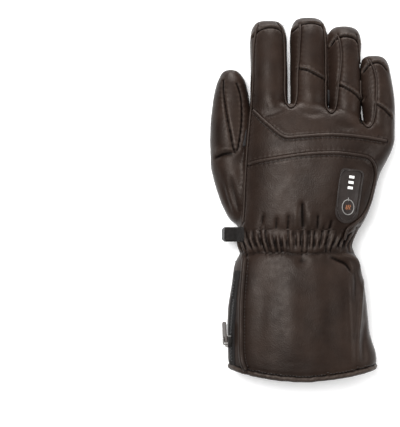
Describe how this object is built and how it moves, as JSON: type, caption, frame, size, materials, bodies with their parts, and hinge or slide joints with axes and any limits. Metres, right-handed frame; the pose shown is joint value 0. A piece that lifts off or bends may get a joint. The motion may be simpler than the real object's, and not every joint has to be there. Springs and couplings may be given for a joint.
{
  "type": "heated glove",
  "caption": "Insulated leather gauntlet glove for the right hand, with a moulded heat control, gathered wrist, zip pocket and flared cuff",
  "frame": {"origin": "under the middle of the glove's bounding box, on the surface that it lies on", "axes": "+Y points from the cuff to the fingertips, +X to the little finger, +Z out of the back of the hand"},
  "size_m": [0.1558, 0.31, 0.0575],
  "materials": {
    "leather": "dark brown, fine grain, semi-gloss",
    "piping": "darker brown leather binding and piping",
    "moulded_panel": "satin soft-touch plastic",
    "light_bar": "white light window",
    "grey_print": "grey ring",
    "amber_print": "orange brown",
    "nylon": "black woven nylon",
    "black_plastic": "black acetal",
    "zip_metal": "satin nickel plate"
  },
  "bodies": {
    "glove": {"knuckle_panel": "leather", "mid_back_band": "leather", "back_panel": "leather", "outer_side_panel": "leather", "palm_panel": "leather", "index_front": "leather", "middle_front": "leather", "ring_front": "leather", "little_front": "leather", "fourchette_index_middle": "leather", "fourchette_middle_ring": "leather", "fourchette_ring_little": "leather", "knuckle_welt": "piping", "back_welt": "piping", "thumb_shell": "leather", "thumb_back_panel": "leather", "wrist_gathers": "leather", "cuff_back_panel": "leather", "cuff_gusset": "leather", "cuff_palm_panel": "leather", "opening_binding": "piping", "hem_binding": "piping", "pocket_zip_tape": "nylon", "pocket_zip_slider": "zip_metal", "cuff_zip_tape": "nylon", "cuff_zip_slider": "zip_metal", "control_panel": "moulded_panel", "light_bar_1": "light_bar", "light_bar_2": "light_bar", "light_bar_3": "light_bar", "button_ring": "grey_print", "push_button": "amber_print", "webbing_loop": "nylon", "clip_hook": "black_plastic"},
    "pocket_pull": {"pocket_zip_pull": "zip_metal"},
    "cuff_pull": {"cuff_zip_pull": "zip_metal"}
  },
  "joints": [
    {"name": "pocket_pull_hinge", "type": "hinge", "parent": "glove", "child": "pocket_pull", "pos_m": [0.02619, -0.06612, 0.00571], "axis": [0, -0.9997, -0.0256], "range_deg": [0, 165]},
    {"name": "cuff_pull_hinge", "type": "hinge", "parent": "glove", "child": "cuff_pull", "pos_m": [-0.06585, -0.12137, 0.03864], "axis": [0.4291, 0, 0.9033], "range_deg": [0, 165]}
  ]
}
